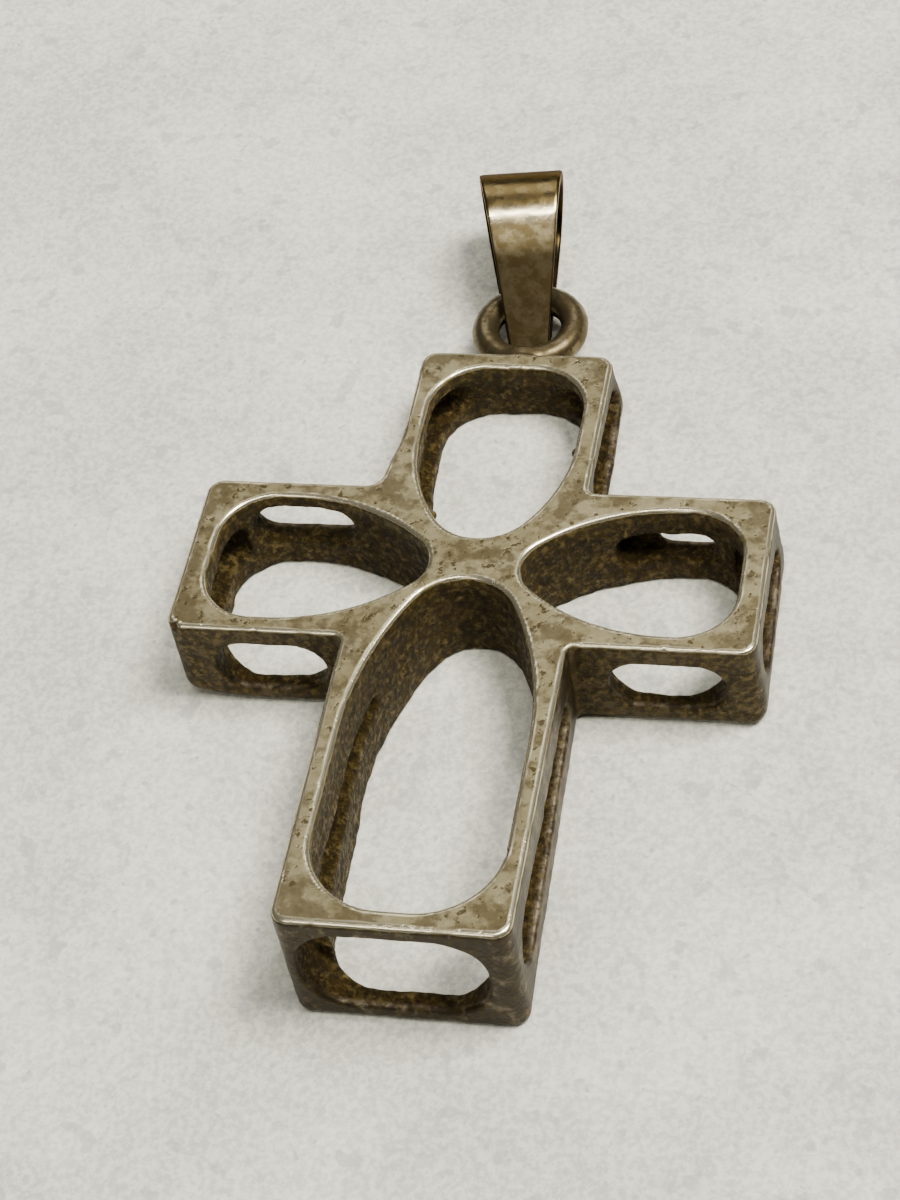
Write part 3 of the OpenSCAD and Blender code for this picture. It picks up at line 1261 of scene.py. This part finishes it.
    def masks(self, points: np.ndarray) -> dict[str, np.ndarray]:
        """Where the metal is polished, rubbed and hidden, for the finish.

        Each ease names the values at which a mask begins and is full: millimetres, or a part of a normal.

        Args:
            points: vertices in the front face's frame.

        Returns:
            A value from 0 to 1 for each vertex, by the mask's name.
        """
        x, y, z = points.T
        normal = slope(self.distance, points)
        bend = bending(self.distance, points, 0.15)
        ring = ease(y, self.height + 0.02, self.height + 0.2)
        outer = ease(self.outline(x, y, z), -0.45, -0.2)
        broad = ease(self.windows_distance(x, y, z), 0.6, 1.7)
        front = ease(normal[:, 2], 0.5, 0.8) * ease(z, -0.45, -0.2)
        back = ease(-normal[:, 2], 0.7, 0.93) * ease(-z - self.thickness(y), -0.4, -0.1)
        rim = ease(normal[:, 2], 0.4, 0.75) * ease(z, -0.5, -0.2)
        return {
            "face": np.maximum.reduce([front * (1 - ring), 0.5 * back, 0.85 * ring]),
            "edge": np.clip(bend * 0.28 - 0.1, 0, 1) * rim * (1 - 0.8 * ring),
            "dip": np.clip(-bend * 0.25, 0, 1),
            "outer": outer * (1 - 0.6 * ease(y, 8, 12) * ease(-normal[:, 1], 0.4, 0.8)),
            "broad": np.clip(broad + 0.3 * ease(-y, -3.5, -0.5) + 0.5 * ease(-x, 12.5, 13.2), 0, 1),
            "ring": ring,
            "cast": ease(-z, 0.3, 1.2) * (1 - 0.7 * ring) * (1 - 0.6 * outer),
        }

    def build(self, finish: bpy.types.Material) -> bpy.types.Object:
        """Nets the casting, lays it on its back and roughens its skin.

        Args:
            finish: the cast silver.

        Returns:
            The finished object.
        """
        low = np.array([-self.width / 2 - 0.5, -0.5, -self.bottom_thk - 0.5])
        high = np.array([self.width / 2 + 0.5, self.height + self.ring.ring_d + 0.5, 0.5])
        points, quads = net(self.distance, low, high, self.step)
        obj = new_object("pendant_cross", self.lay_down(points) * MM, quads)
        masks = self.masks(points)
        put_masks(obj.data, masks)
        obj = self.skin.apply(obj, finish)
        ahead = self.lay_down(points + slope(self.distance, points))
        put_normals(obj.data, ahead - self.lay_down(points), 1 - masks["cast"])
        return obj


# The bail


@dataclass(frozen=True)
class Bail:
    """The folded strip that hangs on the ring: a teardrop loop that widens towards its crown."""

    node: str = "bail"
    slot: str = "bail_silver"
    crown_r: float = 2.8
    foot_r: float = 0.8
    strip_t: float = 0.6
    length: float = 7.0
    crown_w: float = 4.4
    foot_w: float = 1.8
    slope: float = 17.0
    turn: float = 8.7
    roll: float = 5.0
    edge_r: float = 0.1

    def path(self, count: int = 60) -> np.ndarray:
        """Middle line of the strip, once round the loop, seen from the side.

        Args:
            count: points on the foot's arc.

        Returns:
            Places along the bail and across it, from the foot's middle.
        """
        half = self.strip_t / 2
        big, small = self.crown_r - half, self.foot_r - half
        start = math.pi / 2 + math.asin((big - small) / self.length)
        crown = np.linspace(start, -start, 2 * count)
        foot = np.linspace(-start, -2 * math.pi + start, count)
        leg = np.linspace(0, 1, count // 2 + 2)[1:-1, None]
        upper = np.array([math.cos(start), math.sin(start)])
        lower = upper * [1, -1]
        far = np.array([self.length, 0])
        round_crown = np.stack([np.cos(crown), np.sin(crown)], 1) * big + far
        round_foot = np.stack([np.cos(foot), np.sin(foot)], 1) * small
        down = (lower * big + far) * (1 - leg) + lower * small * leg
        up = upper * small * (1 - leg) + (upper * big + far) * leg
        return np.concatenate([round_crown, down, round_foot, up])

    def group(self) -> bpy.types.NodeTree:
        """The geometry nodes that sweep a rounded strip along a path and taper its width.

        Returns:
            The geometry group.
        """
        names = ("Thickness", "Edge radius", "Foot width", "Crown width", "Foot end", "Crown end")
        lengths = {name: Socket.NUMBER for name in names}
        inputs = {"Path": Socket.GEOMETRY, **lengths, "Material": Socket.MATERIAL}
        t = Tree(new_group("tapered_strip", "GeometryNodeTree", inputs, {"Geometry": Socket.GEOMETRY}))
        given = t.node("NodeGroupInput").outputs
        plain_w = 2 * MM
        sizes = {"Width": given["Thickness"], "Height": plain_w}
        section = t.node("GeometryNodeCurvePrimitiveQuadrilateral", sizes, mode="RECTANGLE")
        rounding = {"Curve": section.outputs[0], "Count": 5, "Radius": given["Edge radius"]}
        corners = t.node("GeometryNodeFilletCurve", rounding, mode="POLY")
        fine = t.node("GeometryNodeSubdivideCurve", {"Curve": corners.outputs[0], "Cuts": 5})
        flat = t.node("GeometryNodeSetCurveNormal", {"Curve": given["Path"]}, mode="Z_UP")
        curves = {"Curve": flat.outputs[0], "Profile Curve": fine.outputs[0]}
        sweep = t.node("GeometryNodeCurveToMesh", curves)
        place = t.node("GeometryNodeInputPosition").outputs[0]
        apart = t.node("ShaderNodeSeparateXYZ", {0: place}).outputs
        ends = {"From Min": given["Foot end"], "From Max": given["Crown end"]}
        widths = {"To Min": given["Foot width"], "To Max": given["Crown width"]}
        width = t.node("ShaderNodeMapRange", {"Value": apart["X"], **ends, **widths}).outputs[0]
        share = t.times(apart["Z"], 2 / plain_w)
        grow = t.times(t.less(width, plain_w), 0.5)
        shift = t.node("ShaderNodeCombineXYZ", {"Z": t.times(grow, share)})
        t.end(sweep.outputs[0], shift.outputs[0], given["Material"])
        return t.tree

    def placing(self) -> Matrix:
        """Turns the swept strip, whose path lies in the XY plane, the way that the bail lies.

        Returns:
            The turn.
        """
        turned = Matrix.Identity(4)
        for axis, angle in (("Z", self.turn), ("X", self.slope), ("Y", self.roll)):
            turned = turned @ Matrix.Rotation(math.radians(angle), 4, axis)
        return turned @ Matrix(((0, 0, 1), (1, 0, 0), (0, 1, 0))).to_4x4()

    def masks(self, flat: np.ndarray) -> dict[str, np.ndarray]:
        """The strip's edges and the inside of its loop, where the finish paints shade, and how far along it a
        place is.

        Args:
            flat: its vertices before they are laid down, in millimetres.

        Returns:
            A value from 0 to 1 for each vertex, by the mask's name.
        """
        along, across, side = flat.T
        share = (along + self.foot_r) / (self.length + self.crown_r + self.foot_r)
        half = (self.foot_w + (self.crown_w - self.foot_w) * share) / 2
        outer = taper(along, across, self.length, self.foot_r, self.crown_r)
        return {
            "edge": ease(np.abs(side) - half, -0.1, -0.01),
            "hollow": ease(-outer, 0.25, 0.5),
            "along": share,
        }

    def build(self, finish: bpy.types.Material) -> bpy.types.Object:
        """Sweeps the strip and seats it where the solid bail is.

        Args:
            finish: the strip silver.

        Returns:
            The finished object.
        """
        curve = bpy.data.curves.new("bail_path", "CURVE")
        curve.dimensions = "3D"
        path = self.path()
        spline = curve.splines.new("POLY")
        spline.points.add(len(path) - 1)
        spline.points.foreach_set("co", np.c_[path * MM, np.zeros(len(path)), np.ones(len(path))].ravel())
        spline.use_cyclic_u = True
        obj = add_object("pendant_bail", curve)
        values = {
            "Thickness": self.strip_t * MM,
            "Edge radius": self.edge_r * MM,
            "Foot width": self.foot_w * MM,
            "Crown width": self.crown_w * MM,
            "Foot end": -self.foot_r * MM,
            "Crown end": (self.length + self.crown_r) * MM,
            "Material": finish,
        }
        obj = run_nodes(obj, self.group(), values)
        mesh = obj.data
        put_masks(mesh, self.masks(vertex_places(mesh) / MM))
        mesh.transform(self.placing())
        spots = vertex_places(mesh)
        low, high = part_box(self.node)
        mesh.transform(Matrix.Translation((low + high) / 2 - Vector((spots.min(0) + spots.max(0)) / 2)))
        mesh.polygons.foreach_set("use_smooth", np.ones(len(mesh.polygons), bool))
        return obj


# The room


@dataclass(frozen=True)
class Lamp:
    """A soft lamp that points at the pendant, with its width, its depth and its distance in metres."""

    name: str
    way: tuple[float, float, float]
    distance: float
    size: Pair
    power: float
    colour: Colour

    def build(self) -> None:
        """Hangs the lamp."""
        data = bpy.data.lights.new(self.name, "AREA")
        data.shape = "RECTANGLE"
        data.size, data.size_y = self.size
        data.energy = self.power
        data.color = self.colour
        way = Vector(self.way).normalized()
        aim = way.to_track_quat("Z", "Y").to_matrix().to_4x4()
        add_object(self.name, data).matrix_world = Matrix.Translation(way * self.distance) @ aim


@dataclass(frozen=True)
class Camera:
    """The camera, placed in the front face's frame as the photograph's perspective gives it."""

    focal_px: float = 2821.0
    image_w: float = 900.0
    place: tuple[float, float, float] = (28.285, -64.548, 98.091)
    right: tuple[float, float, float] = (0.97474, 0.17561, -0.13803)
    down: tuple[float, float, float] = (0.04373, -0.75604, -0.65306)

    def build(self, cross: Cross) -> None:
        """Puts the camera over the cross.

        Args:
            cross: the cross, whose face the camera's place was measured from.
        """
        data = bpy.data.cameras.new("camera")
        data.sensor_fit = "HORIZONTAL"
        data.sensor_width = 36.0
        data.lens = self.focal_px / self.image_w * data.sensor_width
        data.clip_start = 0.005
        data.clip_end = 10
        c, s = math.cos(cross.tilt), math.sin(cross.tilt)
        lean = Matrix(((1, 0, 0), (0, c, s), (0, -s, c)))
        right = lean @ Vector(self.right)
        up = lean @ -Vector(self.down)
        turned = Matrix((right, up, right.cross(up))).transposed().to_4x4()
        spot = cross.lay_down(np.array([self.place]))[0] * MM
        obj = add_object("camera", data)
        obj.matrix_world = Matrix.Translation(Vector(spot)) @ turned
        bpy.context.scene.camera = obj


@dataclass(frozen=True)
class Room:
    """Pale paper under soft light."""

    camera: Camera = Camera()
    lamps: tuple[Lamp, ...] = (
        Lamp("window_light", (0.43, 0.15, 0.89), 0.6, (0.24, 0.24), 6.6, (1.0, 0.98, 0.94)),
        Lamp("back_light", (-0.14, 0.72, 0.68), 0.8, (0.5, 0.4), 1.2, (1.0, 0.99, 0.96)),
        Lamp("overhead_light", (0.06, -0.2, 0.975), 0.7, (0.3, 0.05), 1.5, (1.0, 0.98, 0.92)),
        Lamp("front_light", (-0.25, -0.62, 0.74), 0.6, (0.16, 0.12), 0.45, (1.0, 0.98, 0.94)),
    )
    world: Colour = (0.86, 0.87, 0.86)
    world_strength: float = 0.1
    paper: Colour = (0.90, 0.88, 0.735)
    paper_shade: Colour = (0.54, 0.53, 0.44)
    speck: Colour = (0.40, 0.39, 0.38)
    paper_half: float = 0.6
    paper_relief: float = 0.02

    def paper_material(self) -> bpy.types.Material:
        """Builds the pale paper's material.

        Returns:
            The material.
        """
        made, t, shader = new_material("pale_paper")
        place = t.node("ShaderNodeTexCoord").outputs["Object"]
        wide = t.step(t.noise(place, 8.0, 0.1, 6.0), 0.36, 0.64)
        fine = t.step(t.noise(place, 0.3, 0.5, 3.0), 0.35, 0.65)
        colour = t.tint(t.mix(0.6, wide, fine), self.paper, self.paper_shade)
        spots = t.step(t.noise(place, 1.3, 0.2, 2.0), 0.6, 0.66)
        wander = t.math("ABSOLUTE", t.less(t.noise(place, 14.0, 0.4, 3.0), 0.5))
        vein = t.less(1.0, t.step(wander, 0.0, 0.006))
        flecks = t.times(t.step(t.noise(place, 0.7, 0.7, 1.0), 0.7, 0.75), 0.6)
        marks = t.most(flecks, t.most(t.times(spots, 0.45), t.times(vein, 0.25)))
        colour = t.tint(marks, colour, self.speck)
        t.feed(shader["Base Color"], colour)
        shader["Roughness"].default_value = 0.7
        t.feed(shader["Normal"], t.bump(t.noise(place, 0.5, 0.3, 2.0), self.paper_relief))
        return made

    def build(self, cross: Cross) -> None:
        """Sets up the camera, the lamps and the paper.

        Args:
            cross: the cross, which the camera looks at.
        """
        self.camera.build(cross)
        for lamp in self.lamps:
            lamp.build()
        points = np.array([[-1, -1, 0], [1, -1, 0], [1, 1, 0], [-1, 1, 0]]) * self.paper_half
        paper = new_object("paper", points, np.array([[0, 1, 2, 3]]))
        paper.data.materials.append(self.paper_material())
        world = bpy.data.worlds.new("room")
        world.use_nodes = True
        sky = world.node_tree.nodes["Background"]
        sky.inputs["Color"].default_value = (*self.world, 1)
        sky.inputs["Strength"].default_value = self.world_strength
        bpy.context.scene.world = world


def main() -> None:
    """Builds the pendant and the room, and reports each piece."""
    effects = Effects()
    cross, bail = Cross(), Bail()
    for piece, finish in ((cross, CastSilver()), (bail, StripSilver())):
        obj = piece.build(finish.build(effects))
        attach(obj, "root")
        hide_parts(piece.node)
        log.info("%s: %d faces", obj.name, len(obj.data.polygons))
    Room().build(cross)


if __name__ == "__main__":
    main()
